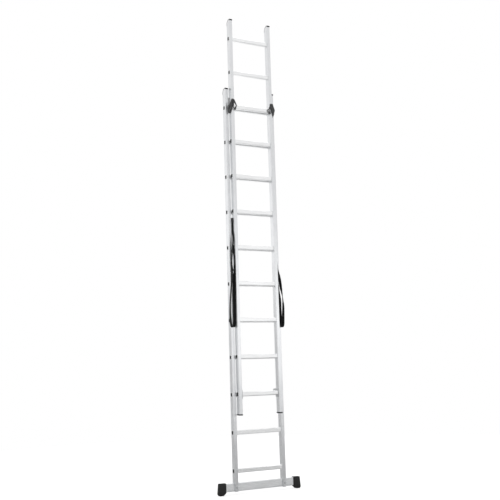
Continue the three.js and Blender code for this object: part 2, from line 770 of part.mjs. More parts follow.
const PLATE_HEIGHT = 1676;
const PLATE_THICKNESS = 1.8;
const plateBack = -FLY_OUTER_X - GAP;
const flyPlate = rounded([
  [-33, PLATE_HEIGHT - 16],
  [3, PLATE_HEIGHT - 16],
  [3, PLATE_HEIGHT + 16],
  [-33, PLATE_HEIGHT + 16],
], 3, 2);
addPair('strap_plate', build([alongX(flyPlate, plateBack - PLATE_THICKNESS, plateBack)]), zinc);

export default ladder;
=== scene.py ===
import json
import math

import bmesh
import bpy
from mathutils import Matrix, Vector


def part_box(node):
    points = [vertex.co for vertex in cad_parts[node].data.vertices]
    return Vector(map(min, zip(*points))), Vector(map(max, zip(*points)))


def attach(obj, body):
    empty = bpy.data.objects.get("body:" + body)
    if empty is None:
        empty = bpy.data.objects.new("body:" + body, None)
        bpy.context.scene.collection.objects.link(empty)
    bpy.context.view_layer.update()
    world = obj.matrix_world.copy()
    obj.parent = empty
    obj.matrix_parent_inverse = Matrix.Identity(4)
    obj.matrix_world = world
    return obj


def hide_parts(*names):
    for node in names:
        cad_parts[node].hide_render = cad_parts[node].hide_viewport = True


# The looks of a two-section aluminium ladder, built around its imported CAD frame.
# Metres, +Z up the ladder, X across it, -Y the side that is climbed.

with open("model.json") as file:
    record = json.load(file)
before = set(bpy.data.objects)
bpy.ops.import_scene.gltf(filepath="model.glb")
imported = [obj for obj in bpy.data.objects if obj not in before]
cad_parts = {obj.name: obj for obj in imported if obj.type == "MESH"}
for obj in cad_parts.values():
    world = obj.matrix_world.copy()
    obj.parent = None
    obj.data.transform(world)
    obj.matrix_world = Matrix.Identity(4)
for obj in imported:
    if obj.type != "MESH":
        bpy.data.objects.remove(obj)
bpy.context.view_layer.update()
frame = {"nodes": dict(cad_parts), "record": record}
scene = bpy.context.scene
record = frame["record"]
body_of_node = {node: body for body, nodes in record["behaviour"]["bodies"].items() for node in nodes}

MM = 0.001
SIDES = ("left", "right")

# ---- camera -----------------------------------------------------------------------

CAMERA_PLACE = Vector((-2.9666, -5.6789, 0.9387))
CAMERA_AZIMUTH = math.radians(-27.281)
CAMERA_PITCH = math.radians(8.002)
CAMERA_ROLL = math.radians(-1.705)
CAMERA_LENS = 59.58
CAMERA_SENSOR = 36


def make_camera():
    level_right = Vector((math.cos(CAMERA_AZIMUTH), math.sin(CAMERA_AZIMUTH), 0))
    ahead = Vector((
        -math.sin(CAMERA_AZIMUTH) * math.cos(CAMERA_PITCH),
        math.cos(CAMERA_AZIMUTH) * math.cos(CAMERA_PITCH),
        math.sin(CAMERA_PITCH),
    ))
    level_up = level_right.cross(ahead)
    right = level_right * math.cos(CAMERA_ROLL) + level_up * math.sin(CAMERA_ROLL)
    up = right.cross(ahead)
    data = bpy.data.cameras.new("camera")
    data.lens = CAMERA_LENS
    data.sensor_width = CAMERA_SENSOR
    data.clip_end = 60
    camera = bpy.data.objects.new("camera", data)
    scene.collection.objects.link(camera)
    turn = Matrix((right, up, -ahead)).transposed().to_4x4()
    camera.matrix_world = Matrix.Translation(CAMERA_PLACE) @ turn
    scene.camera = camera


make_camera()

# ---- materials --------------------------------------------------------------------


def new_material(name):
    """A node material with its shader, and its object coordinates in metres."""
    material = bpy.data.materials.new(name)
    material.use_nodes = True
    nodes = material.node_tree.nodes
    shader = nodes["Principled BSDF"]
    coordinates = nodes.new("ShaderNodeTexCoord")
    return material, nodes, material.node_tree.links, shader, coordinates


def noise(nodes, links, source, scale, detail=3.0, stretch=(1, 1, 1)):
    """Noise over stretched coordinates: a small stretch makes the pattern long that way."""
    mapping = nodes.new("ShaderNodeMapping")
    mapping.inputs["Scale"].default_value = stretch
    texture = nodes.new("ShaderNodeTexNoise")
    texture.inputs["Scale"].default_value = scale
    texture.inputs["Detail"].default_value = detail
    links.new(source, mapping.inputs["Vector"])
    links.new(mapping.outputs["Vector"], texture.inputs["Vector"])
    return texture.outputs["Fac"]


def spread(nodes, links, value, low, high):
    """Maps a noise value, mostly between 0.3 and 0.7, to the range given."""
    mapped = nodes.new("ShaderNodeMapRange")
    mapped.inputs["From Min"].default_value = 0.3
    mapped.inputs["From Max"].default_value = 0.7
    mapped.inputs["To Min"].default_value = low
    mapped.inputs["To Max"].default_value = high
    links.new(value, mapped.inputs["Value"])
    return mapped.outputs["Result"]


def blend_colours(nodes, links, factor, first, second):
    mix = nodes.new("ShaderNodeMix")
    mix.data_type = "RGBA"
    mix.inputs["A"].default_value = (*first, 1)
    mix.inputs["B"].default_value = (*second, 1)
    links.new(factor, mix.inputs["Factor"])
    return mix.outputs["Result"]


def bump(nodes, links, shader, height, distance, strength):
    node = nodes.new("ShaderNodeBump")
    node.inputs["Distance"].default_value = distance
    node.inputs["Strength"].default_value = strength
    links.new(height, node.inputs["Height"])
    links.new(node.outputs["Normal"], shader.inputs["Normal"])


def drawn_metal(name, axis, light, dark, rough, across=0.8):
    """Extruded aluminium: fine drawing lines along one axis over a faintly cloudy surface.
    The larger across is, the more the lines scatter light sideways and the less along them."""
    material, nodes, links, shader, coordinates = new_material(name)
    place = coordinates.outputs["Object"]
    stretch = [1.0, 1.0, 1.0]
    stretch["XYZ".index(axis)] = 0.012
    lines = noise(nodes, links, place, 900, 2.0, stretch)
    clouds = noise(nodes, links, place, 9, 4.0, [1 + s for s in stretch])
    tone = blend_colours(nodes, links, spread(nodes, links, clouds, 0, 1), light, dark)
    links.new(tone, shader.inputs["Base Color"])
    links.new(spread(nodes, links, lines, rough - 0.07, rough + 0.07), shader.inputs["Roughness"])
    shader.inputs["Metallic"].default_value = 1.0
    shader.inputs["Anisotropic"].default_value = across
    surface = nodes.new("ShaderNodeNewGeometry")
    tangent = nodes.new("ShaderNodeVectorMath")
    tangent.operation = "CROSS_PRODUCT"
    tangent.inputs[1].default_value = [1.0 if letter == axis else 0.0 for letter in "XYZ"]
    links.new(surface.outputs["Normal"], tangent.inputs[0])
    links.new(tangent.outputs["Vector"], shader.inputs["Tangent"])
    bump(nodes, links, shader, lines, 0.0001, 0.35)
    return material


def moulded_plastic(name, light, dark, rough):
    """Black moulded plastic with a fine spark-eroded grain and a little dust in its tone."""
    material, nodes, links, shader, coordinates = new_material(name)
    place = coordinates.outputs["Object"]
    grain = noise(nodes, links, place, 1400, 2.0)
    dust = noise(nodes, links, place, 45, 5.0)
    tone = blend_colours(nodes, links, spread(nodes, links, dust, 0, 1), dark, light)
    links.new(tone, shader.inputs["Base Color"])
    links.new(spread(nodes, links, dust, rough - 0.08, rough + 0.1), shader.inputs["Roughness"])
    shader.inputs["Specular IOR Level"].default_value = 0.3
    bump(nodes, links, shader, grain, 0.00012, 0.5)
    return material


def zinc_plate(name):
    """Zinc plated steel: a mottled grey metal."""
    material, nodes, links, shader, coordinates = new_material(name)
    place = coordinates.outputs["Object"]
    mottle = noise(nodes, links, place, 380, 3.0)
    share = spread(nodes, links, mottle, 0, 1)
    tone = blend_colours(nodes, links, share, (0.62, 0.63, 0.64), (0.46, 0.47, 0.48))
    links.new(tone, shader.inputs["Base Color"])
    links.new(spread(nodes, links, mottle, 0.24, 0.42), shader.inputs["Roughness"])
    shader.inputs["Metallic"].default_value = 1.0
    bump(nodes, links, shader, mottle, 0.00005, 0.3)
    return material


def blackened_steel(name):
    """Black coated steel, with a little bare metal showing through in specks."""
    material, nodes, links, shader, coordinates = new_material(name)
    place = coordinates.outputs["Object"]
    specks = noise(nodes, links, place, 520, 4.0)
    bare = spread(nodes, links, specks, -0.6, 1)
    tone = blend_colours(nodes, links, bare, (0.02, 0.02, 0.021), (0.07, 0.07, 0.072))
    links.new(tone, shader.inputs["Base Color"])
    links.new(spread(nodes, links, specks, 0.38, 0.55), shader.inputs["Roughness"])
    shader.inputs["Metallic"].default_value = 0.4
    bump(nodes, links, shader, specks, 0.00005, 0.3)
    return material


THREAD = 1.1 * MM
PICK = 1.6 * THREAD          # a thread's pitch along the band


def woven_band(name):
    """Black polyester webbing. Its UV map is in metres, across the band and along it."""
    material, nodes, links, shader, coordinates = new_material(name)
    scaled = nodes.new("ShaderNodeMapping")
    scaled.inputs["Scale"].default_value = (1 / THREAD, 1 / PICK, 1)
    links.new(coordinates.outputs["UV"], scaled.inputs["Vector"])
    weave = nodes.new("ShaderNodeTexChecker")
    weave.inputs["Scale"].default_value = 1.0
    links.new(scaled.outputs["Vector"], weave.inputs["Vector"])
    ribs = nodes.new("ShaderNodeTexWave")
    ribs.inputs["Scale"].default_value = 0.5
    ribs.inputs["Distortion"].default_value = 0.4
    links.new(scaled.outputs["Vector"], ribs.inputs["Vector"])
    wear = noise(nodes, links, coordinates.outputs["Object"], 70, 4.0)
    height = nodes.new("ShaderNodeMath")
    height.operation = "MULTIPLY_ADD"
    height.inputs[1].default_value = 0.5
    links.new(weave.outputs["Fac"], height.inputs[0])
    links.new(ribs.outputs["Fac"], height.inputs[2])
    tone = nodes.new("ShaderNodeMath")
    tone.operation = "MULTIPLY_ADD"
    tone.inputs[1].default_value = 0.35
    links.new(weave.outputs["Fac"], tone.inputs[0])
    links.new(spread(nodes, links, wear, 0.0, 0.6), tone.inputs[2])
    colour = blend_colours(nodes, links, tone.outputs["Value"], (0.004, 0.004, 0.0045), (0.014, 0.014, 0.015))
    links.new(colour, shader.inputs["Base Color"])
    shader.inputs["Roughness"].default_value = 0.8
    shader.inputs["Specular IOR Level"].default_value = 0.25
    shader.inputs["Sheen Weight"].default_value = 0.06
    shader.inputs["Sheen Roughness"].default_value = 0.4
    bump(nodes, links, shader, height.outputs["Value"], 0.0003, 0.6)
    return material


stile_metal = drawn_metal("stile_metal", "Z", (0.84, 0.85, 0.86), (0.78, 0.79, 0.805), 0.3)
# Painted light: the rungs are the same aluminium as the stiles, given a lighter colour for the brighter light
# their fronts catch.
rung_metal_painted_light = drawn_metal("rung_metal_painted_light", "X", (0.95, 0.955, 0.96), (0.91, 0.915, 0.92), 0.26, 0.4)
bar_metal = drawn_metal("bar_metal", "X", (0.84, 0.85, 0.86), (0.79, 0.80, 0.81), 0.3)
# Painted shade: the insides of the hollow rungs, stiles and bar are the same aluminium, given a far darker
# colour for the shade inside them.
tube_inside_painted_shade = drawn_metal("tube_inside_painted_shade", "X", (0.16, 0.16, 0.17), (0.10, 0.10, 0.105), 0.7)
black_plastic = moulded_plastic("black_plastic", (0.014, 0.014, 0.015), (0.006, 0.006, 0.0065), 0.42)
bracket_plastic = moulded_plastic("bracket_plastic", (0.075, 0.075, 0.077), (0.045, 0.045, 0.046), 0.4)
sole_plastic = moulded_plastic("sole_plastic", (0.02, 0.02, 0.021), (0.01, 0.01, 0.0105), 0.6)
zinc = zinc_plate("zinc")
blackened = blackened_steel("blackened")
webbing = woven_band("webbing")

# ---- meshes -----------------------------------------------------------------------

SMOOTH_BELOW = math.radians(32)


def finish_mesh(mesh):
    """Outward normals, and smooth shading everywhere but at real edges."""
    work = bmesh.new()
    work.from_mesh(mesh)
    bmesh.ops.recalc_face_normals(work, faces=work.faces)
    work.to_mesh(mesh)
    work.free()
    mesh.shade_smooth()
    mesh.set_sharp_from_angle(angle=SMOOTH_BELOW)


def new_piece(name, vertices, faces, materials):
    mesh = bpy.data.meshes.new(name)
    mesh.from_pydata([tuple(v) for v in vertices], [], faces)
    for material in materials:
        mesh.materials.append(material)
    finish_mesh(mesh)
    piece = bpy.data.objects.new(name, mesh)
    scene.collection.objects.link(piece)
    return piece


def stand_in_for(piece, *nodes):
    """The piece takes the place and the body of these CAD nodes."""
    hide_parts(*nodes)
    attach(piece, body_of_node[nodes[0]])


def loft(name, rings, materials, loop=False, inside_from=None):
    """Skins rings of equal length. A loop joins the last ring to the first, as a tube's walls do.
    Bands from number inside_from on take the second material."""
    count = len(rings[0])
    vertices = [point for ring in rings for point in ring]
    bands = len(rings) if loop else len(rings) - 1
    faces = []
    for band in range(bands):
        low = band * count
        high = (band + 1) % len(rings) * count
        for i in range(count):
            j = (i + 1) % count
            faces.append((low + i, low + j, high + j, high + i))
    if not loop:
        faces.append(tuple(range(count)))
        faces.append(tuple(range(len(vertices) - count, len(vertices))))
    piece = new_piece(name, vertices, faces, materials)
    if inside_from is not None:
        for polygon in piece.data.polygons:
            if inside_from <= polygon.index // count < bands - 1:
                polygon.material_index = 1
    return piece


def bake(piece):
    """Applies the piece's modifiers to its mesh."""
    view = bpy.context.evaluated_depsgraph_get()
    mesh = bpy.data.meshes.new_from_object(piece.evaluated_get(view))
    piece.modifiers.clear()
    piece.data = mesh


def carve(piece, cutters):
    """Cuts each closed cutter away from the piece."""
    for cutter in cutters:
        cut = piece.modifiers.new("cut", "BOOLEAN")
        cut.operation = "DIFFERENCE"
        cut.solver = "EXACT"
        cut.object = cutter
    bake(piece)
    for cutter in cutters:
        bpy.data.objects.remove(cutter)
    finish_mesh(piece.data)


def soften(piece, width, angle=35):
    """Rounds the edges where two faces meet at more than this angle, in degrees."""
    bevel = piece.modifiers.new("bevel", "BEVEL")
    bevel.width = width
    bevel.segments = 2
    bevel.limit_method = "ANGLE"
    bevel.angle_limit = math.radians(angle)
    bake(piece)
    finish_mesh(piece.data)


def refined(node, material, edge):
    """A copy of a CAD node with its flat faces merged and its edges rounded."""
    mesh = frame["nodes"][node].data.copy()
    mesh.materials.clear()
    mesh.materials.append(material)
    work = bmesh.new()
    work.from_mesh(mesh)
    bmesh.ops.remove_doubles(work, verts=work.verts, dist=0.01 * MM)
    bmesh.ops.dissolve_limit(work, angle_limit=math.radians(1), verts=work.verts, edges=work.edges)
    work.to_mesh(mesh)
    work.free()
    piece = bpy.data.objects.new(f"{node}_finished", mesh)
    scene.collection.objects.link(piece)
    for polygon in mesh.polygons:
        polygon.material_index = 0
    soften(piece, edge)
    stand_in_for(piece, node)


def joined(pieces):
    """One object from several."""
    first = pieces[0]
    work = bmesh.new()
    for piece in pieces:
        work.from_mesh(piece.data)
    work.to_mesh(first.data)
    work.free()
    for piece in pieces[1:]:
        bpy.data.objects.remove(piece)
    finish_mesh(first.data)
    return first


# ---- outlines ---------------------------------------------------------------------

CORNER_STEPS = 4


def outline(width, depth, radius, grooves=((), (), (), ()), groove_depth=0.5 * MM, groove_half=0.6 * MM):
    """A rounded rectangle round (0, 0), counter-clockwise. grooves holds the places of the small
    grooves along its front, right, back and left, each measured from that side's middle."""
    points = []
    for side in range(4):
        turn = math.pi / 2 * side
        along = Vector((math.cos(turn), math.sin(turn)))
        out = Vector((math.sin(turn), -math.cos(turn)))
        length, reach = (width, depth) if side % 2 == 0 else (depth, width)
        face = out * reach / 2
        points.append(face + along * (radius - length / 2))
        for place in grooves[side]:
            points.append(face + along * (place - groove_half))
            points.append(face + along * (place - groove_half / 2) - out * groove_depth)
            points.append(face + along * (place + groove_half / 2) - out * groove_depth)
            points.append(face + along * (place + groove_half))
        points.append(face + along * (length / 2 - radius))
        centre = out * (reach / 2 - radius) + along * (length / 2 - radius)
        for step in range(1, CORNER_STEPS):
            angle = math.pi / 2 * step / CORNER_STEPS
            points.append(centre + (out * math.cos(angle) + along * math.sin(angle)) * radius)
    return points


def ring_z(points, x, y, z):
    return [Vector((x + p.x, y + p.y, z)) for p in points]


def ring_x(points, x, y, z):
    return [Vector((x, y + p.x, z + p.y)) for p in points]


def centre_of(node):
    low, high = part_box(node)
    return (low + high) / 2


# ---- rungs ------------------------------------------------------------------------

RUNG_DEPTH = 26 * MM
RUNG_HEIGHT = 31 * MM
RUNG_WALL = 2 * MM
RUNG_CORNER = 3 * MM
RUNG_LIP = 1.4 * MM          # the lip rolled outwards over the stile's outer face
RUNG_BEAD = 2.2 * MM         # the bead swaged against its inner face
STILE_WIDTH = 25 * MM
TREAD_GROOVES = [i * 2.9 * MM for i in (-3, -2, -1, 0, 1, 2, 3)]
SOLE_GROOVES = [-6 * MM, 6 * MM]
EDGE_GROOVES = [-11 * MM, 11 * MM]
RUNG_GROOVES = (SOLE_GROOVES, EDGE_GROOVES, TREAD_GROOVES, EDGE_GROOVES)
GROOVE_DEPTH = 0.7 * MM


def rung_outline(growth, corner, groove_depth):
    """A rung's section, grown on every side. Grooves of no depth still give it as many points."""
    return outline(RUNG_DEPTH + 2 * growth, RUNG_HEIGHT + 2 * growth, corner, RUNG_GROOVES, groove_depth)


def rung_skin(growth):
    return rung_outline(growth, RUNG_CORNER + growth, GROOVE_DEPTH)


def rung_bore():
    return rung_outline(-RUNG_WALL, RUNG_CORNER - RUNG_WALL / 2, 0.0)


def make_rung(node):
    """A grooved hollow bar, flared over the stiles' outer faces and beaded inside them."""
    low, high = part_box(node)
    middle = (low + high) / 2
    end = high.x
    lip = end - RUNG_LIP
    bead = lip - STILE_WIDTH - 0.6 * MM
    half = [
        (end, 0.5 * MM),
        (end - 0.35 * MM, 1.2 * MM),
        (end - 0.8 * MM, RUNG_LIP),
        (lip, RUNG_LIP),
        (lip, 0.0),
        (bead, 0.0),
        (bead, RUNG_BEAD - 0.5 * MM),
        (bead - 0.5 * MM, RUNG_BEAD),
        (bead - 1.5 * MM, RUNG_BEAD),
        (bead - 2.6 * MM, RUNG_BEAD - 0.9 * MM),
        (bead - 3.6 * MM, 0.3 * MM),
        (bead - 4.6 * MM, 0.0),
    ]
    stations = [(-x, growth) for x, growth in half] + [(x, growth) for x, growth in reversed(half)]
    rings = [ring_x(rung_skin(growth), x, middle.y, middle.z) for x, growth in stations]
    outer_bands = len(rings)
    rings.append(ring_x(rung_bore(), end, middle.y, middle.z))
    rings.append(ring_x(rung_bore(), -end, middle.y, middle.z))
    piece = loft(f"{node}_grooved", rings, [rung_metal_painted_light, tube_inside_painted_shade], loop=True, inside_from=outer_bands)
    stand_in_for(piece, node)


for node in frame["nodes"]:
    if "_rung_" in node:
        make_rung(node)

# ---- stiles -----------------------------------------------------------------------

STILE_DEPTH = 50 * MM
STILE_WALL = 1.6 * MM
STILE_CORNER = 2.2 * MM
STILE_BORE_CORNER = 0.7 * MM
HEAD_DEPTH = 42 * MM
HEAD_HEIGHT = 32 * MM
FRONT_GROOVES = [-7 * MM, 7 * MM]
FLANK_GROOVES = [-18 * MM, -15.5 * MM, 15.5 * MM, 18 * MM]
STILE_GROOVES = (FRONT_GROOVES, FLANK_GROOVES, FRONT_GROOVES, FLANK_GROOVES)
ARC_STEPS = 16


def head_arc(back, top, deep=HEAD_DEPTH, high=HEAD_HEIGHT):
    """The rounded rear corner of a stile's upper end, from the rear wall up to the top."""
    points = []
    for step in range(ARC_STEPS + 1):
        angle = math.pi / 2 * step / ARC_STEPS
        points.append((
            back - HEAD_DEPTH + deep * math.cos(angle),
            top - HEAD_HEIGHT + high * math.sin(angle),
        ))
    return points


def prism_x(name, points, low, high, material):
    """Extrudes an outline in y and z along x."""
    rings = [[Vector((x, y, z)) for y, z in points] for x in (low, high)]
    return loft(name, rings, [material])


def rung_hole(x, y, z):
    points = outline(RUNG_DEPTH + 0.6 * MM, RUNG_HEIGHT + 0.6 * MM, RUNG_CORNER)
    rings = [ring_x(points, x - STILE_WIDTH, y, z), ring_x(points, x + STILE_WIDTH, y, z)]
    return loft("hole", rings, [stile_metal])


def make_stile(section, side):
    node = f"{section}_stile_{side}"
    low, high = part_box(node)
    middle = (low + high) / 2
    groove_half = 0.7 * MM
    skin = outline(STILE_WIDTH, STILE_DEPTH, STILE_CORNER, STILE_GROOVES, 0.45 * MM, groove_half)
    bore = outline(
        STILE_WIDTH - 2 * STILE_WALL, STILE_DEPTH - 2 * STILE_WALL, STILE_BORE_CORNER, STILE_GROOVES, 0.0,
        groove_half)
    rings = [ring_z(points, middle.x, middle.y, z) for points, z in (
        (skin, low.z), (skin, high.z), (bore, high.z), (bore, low.z))]
    piece = loft(f"{node}_profile", rings, [stile_metal, tube_inside_painted_shade], loop=True, inside_from=2)
    margin = 12 * MM
    rear = head_arc(high.y, high.z) + [
        (high.y - HEAD_DEPTH, high.z + margin), (high.y + margin, high.z + margin),
        (high.y + margin, high.z - HEAD_HEIGHT)]
    cutters = [prism_x("rear", rear, low.x - margin, high.x + margin, stile_metal)]
    holes = []
    for rung in frame["nodes"]:
        if rung.startswith(f"{section}_rung_"):
            holes.append(rung_hole(middle.x, middle.y, centre_of(rung).z))
    cutters.append(joined(holes))
    if section == "base":
        bar_low, bar_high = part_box("stabiliser_bar")
        gap = 0.3 * MM
        slot = [(bar_low.y - gap, low.z - margin), (bar_high.y + gap, low.z - margin),
                (bar_high.y + gap, bar_high.z + gap), (bar_low.y - gap, bar_high.z + gap)]
        cutters.append(prism_x("slot", slot, low.x - margin, high.x + margin, stile_metal))
    carve(piece, cutters)
    stand_in_for(piece, node)


for section in ("base", "fly"):
    for side in SIDES:
        make_stile(section, side)

# ---- caps -------------------------------------------------------------------------

CAP_SKIRT = 7 * MM


def make_top_cap(section, side):
    """A thin black rim that wraps the stile's rounded end and turns down a little in front."""
    node = f"{section}_top_cap_{side}"
    stile_low, stile_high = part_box(f"{section}_stile_{side}")
    low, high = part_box(node)
    skin = 0.6 * MM
    gap = 0.1 * MM
    front, back, top = stile_low.y, stile_high.y, stile_high.z
    rise = high.z - top
    outer = [(back + skin, top - HEAD_HEIGHT - CAP_SKIRT)]
    outer += head_arc(back, top, HEAD_DEPTH + skin, HEAD_HEIGHT + rise)
    outer += [(front + 1.5 * MM, top + rise), (front - skin * 0.3, top + rise - 0.5 * MM)]
    outer += [(front - skin, top + rise - 1.8 * MM), (front - skin, top - CAP_SKIRT)]
    inner = [(front - gap, top - CAP_SKIRT), (front - gap, top + gap)]
    inner += reversed(head_arc(back, top, HEAD_DEPTH + gap, HEAD_HEIGHT + gap))
    inner += [(back + gap, top - HEAD_HEIGHT - CAP_SKIRT)]
    piece = prism_x(f"{node}_rim", outer + inner, stile_low.x - skin, stile_high.x + skin, black_plastic)
    soften(piece, 0.35 * MM, 40)
    stand_in_for(piece, node)


for section in ("base", "fly"):
    for side in SIDES:
        make_top_cap(section, side)

for side in SIDES:
    refined(f"fly_sole_cap_{side}", sole_plastic, 0.8 * MM)
    refined(f"guide_bracket_{side}", bracket_plastic, 0.7 * MM)
    refined(f"latch_lever_{side}", bracket_plastic, 0.8 * MM)
    refined(f"rung_hook_{side}", zinc, 0.6 * MM)
    refined(f"strap_clip_{side}", black_plastic, 0.5 * MM)
    refined(f"bar_foot_{side}", sole_plastic, 1.6 * MM)
    refined(f"strap_anchor_{side}", blackened, 0.4 * MM)
    refined(f"strap_plate_{side}", zinc, 0.4 * MM)

# ---- stabiliser bar ---------------------------------------------------------------

BAR_WALL = 2 * MM
BAR_CORNER = 3 * MM
BAR_FACE_GROOVES = [-22 * MM, -19 * MM, 19 * MM, 22 * MM]
BAR_GROOVES = ((), BAR_FACE_GROOVES, (), BAR_FACE_GROOVES)


def make_bar():
    low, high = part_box("stabiliser_bar")
    middle = (low + high) / 2
    depth, height = high.y - low.y, high.z - low.z
    groove_half = 0.8 * MM
    skin = outline(depth, height, BAR_CORNER, BAR_GROOVES, 0.6 * MM, groove_half)
    bore = outline(
        depth - 2 * BAR_WALL, height - 2 * BAR_WALL, BAR_CORNER - BAR_WALL, BAR_GROOVES, 0.0, groove_half)
    rings = [ring_x(points, x, middle.y, middle.z) for points, x in (
        (skin, low.x), (skin, high.x), (bore, high.x), (bore, low.x))]
    piece = loft("stabiliser_bar_profile", rings, [bar_metal, tube_inside_painted_shade], loop=True, inside_from=2)
    stand_in_for(piece, "stabiliser_bar")


make_bar()

# ---- fasteners --------------------------------------------------------------------

LATHE_STEPS = 32


def lathe(name, profile, centre, axis, material):
    """Turns a profile of (radius, height) pairs round an axis through the centre."""
    turn = Vector((0, 0, 1)).rotation_difference(Vector(axis)).to_matrix()
    rings = []
    for radius, height in profile:
        ring = []
        for step in range(LATHE_STEPS):
            angle = 2 * math.pi * step / LATHE_STEPS
            ring.append(centre + turn @ Vector((radius * math.cos(angle), radius * math.sin(angle), height)))
        rings.append(ring)
    return loft(name, rings, [material])


def dome(radius, rise, rim, steps=6):
    """A button head's profile, from its rim up to its crown."""
    points = [(radius, 0.0), (radius, rim)]
    for step in range(1, steps):
        angle = math.pi / 2 * step / steps
        points.append((radius * math.cos(angle), rim + rise * math.sin(angle)))
    points.append((radius * 0.05, rim + rise))
    return points


BOLT_RADIUS = 4 * MM
BOLT_HEAD_RADIUS = 9 * MM
BOLT_HEAD_RIM = 0.8 * MM
BOLT_CHAMFER = 0.6 * MM
FORWARD = (0, -1, 0)


def make_bolt(side):
    """A domed head against the stile's front, and a shank that ends in a chamfer behind it."""
    node = f"bar_bolt_{side}"
    low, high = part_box(node)
    middle = (low + high) / 2
    head_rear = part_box(f"base_stile_{side}")[0].y - 0.3 * MM
    crown = dome(BOLT_HEAD_RADIUS, head_rear - low.y - BOLT_HEAD_RIM, BOLT_HEAD_RIM)
    head = lathe("head", crown, Vector((middle.x, head_rear, middle.z)), FORWARD, zinc)
    rod = [
        (BOLT_RADIUS - BOLT_CHAMFER, 0.0),
        (BOLT_RADIUS, BOLT_CHAMFER),
        (BOLT_RADIUS, high.y - head_rear),
    ]
    shank = lathe(f"{node}_head", rod, Vector((middle.x, high.y, middle.z)), FORWARD, zinc)
    stand_in_for(joined([shank, head]), node)


for side in SIDES:
    make_bolt(side)
    refined(f"bar_nut_{side}", zinc, 0.3 * MM)
    refined(f"guide_rivet_lower_{side}", zinc, 0.3 * MM)
    refined(f"guide_rivet_upper_{side}", zinc, 0.3 * MM)
    refined(f"latch_pin_{side}", blackened, 0.3 * MM)

# ---- straps -----------------------------------------------------------------------

STRAP_WIDTH = 32 * MM
STRAP_THICKNESS = 2 * MM
STRAP_STEP = 5 * MM
SPAN_STEPS = 16
# Each strap's centre line in millimetres, from its anchor on the base stile down and back up
# beside the fly, with the angle in degrees that its width is turned there about the vertical.
# The CAD part holds the same two lists.
STRAP_ROUTES = {
    "left": [
        (-187.2, 2, 2077, 0), (-187.2, 2, 2035, 0), (-185.4, 2, 1998, -3), (-185.6, -1, 1965, -3),
        (-187.6, -9, 1936, -5), (-190.4, -15.5, 1912, -4), (-194, -19, 1880, -6), (-199, -20, 1846, -6),
        (-203, -20, 1812, -6), (-206, -20, 1777, -6), (-209, -20, 1746, -4), (-210, -20, 1715, -1),
        (-208.8, -20, 1684, 8), (-209.5, -20, 1630, 8), (-213.5, -20, 1580, 0), (-219.7, -20, 1531, -5),
        (-225, -20, 1485, -7), (-229, -20, 1440, -5), (-232, -20, 1390, -4), (-232.8, -20, 1348, -1),
        (-231.5, -20, 1290, 3), (-228, -20, 1260, 6), (-221, -20, 1242, 10), (-212.5, -20, 1236.5, 15),
        (-204, -20, 1242, 25), (-198.5, -20, 1260, 30), (-196.8, -20, 1290, 26), (-196, -20, 1348, 28),
        (-195, -20, 1400, 28), (-194, -20, 1450, 28), (-193.3, -20, 1500, 30), (-192, -20, 1540, 23),
        (-191.5, -20, 1590, 18), (-190.6, -20, 1625, 17), (-187.2, -22, 1658, 4),
        (-187.2, -22.5, 1676, 0), (-187.2, -23, 1694, -2), (-188.5, -24, 1722, -14),
        (-188.5, -23, 1755, -14), (-188, -20, 1785, -13), (-187.5, -14, 1812, -8),
        (-187.2, -10, 1862, -4),
    ],
    "right": [
        (187.2, 2, 2077, 0), (187.2, 2, 2030, 0), (188.2, 1, 1950, 0), (189.2, -5.5, 1885, 0),
        (189.2, -6, 1790, 0), (189.2, -12, 1718, 0), (190.2, -16, 1686, 0), (194.8, -20, 1660, 4),
        (200.8, -20, 1632, 13), (206.6, -20, 1601, 17), (211.3, -20, 1569, 13), (215.9, -20, 1538, 4),
        (221.4, -20, 1506, -10), (226.3, -20, 1475, -23), (229, -20, 1443, -16), (230.5, -20, 1412, -2),
        (230.3, -20, 1381, 4), (228.6, -20, 1349, 7), (227, -20, 1318, 10), (225.5, -20, 1287, 12),
        (224.2, -20, 1262, 12), (221, -20, 1241, 3), (213.5, -20, 1234, 2), (206, -20, 1241, 0),
        (202.5, -20, 1264, 12), (202.5, -20, 1290, 13), (202.6, -20, 1318, 13), (201.8, -20, 1349, 14),
        (201.4, -20, 1381, 13), (202, -20, 1412, 13), (201.7, -20, 1443, 11), (198.8, -20, 1475, 4),
        (194, -20, 1506, 2), (190.8, -19, 1537, 0), (188.4, -16, 1568, 0), (187.2, -13, 1592, 0),
        (187, -12.5, 1620, 0), (186.4, -12, 1650, 0), (186.4, -12, 1760, 0), (186.4, -12, 1862, 0),
    ],
}


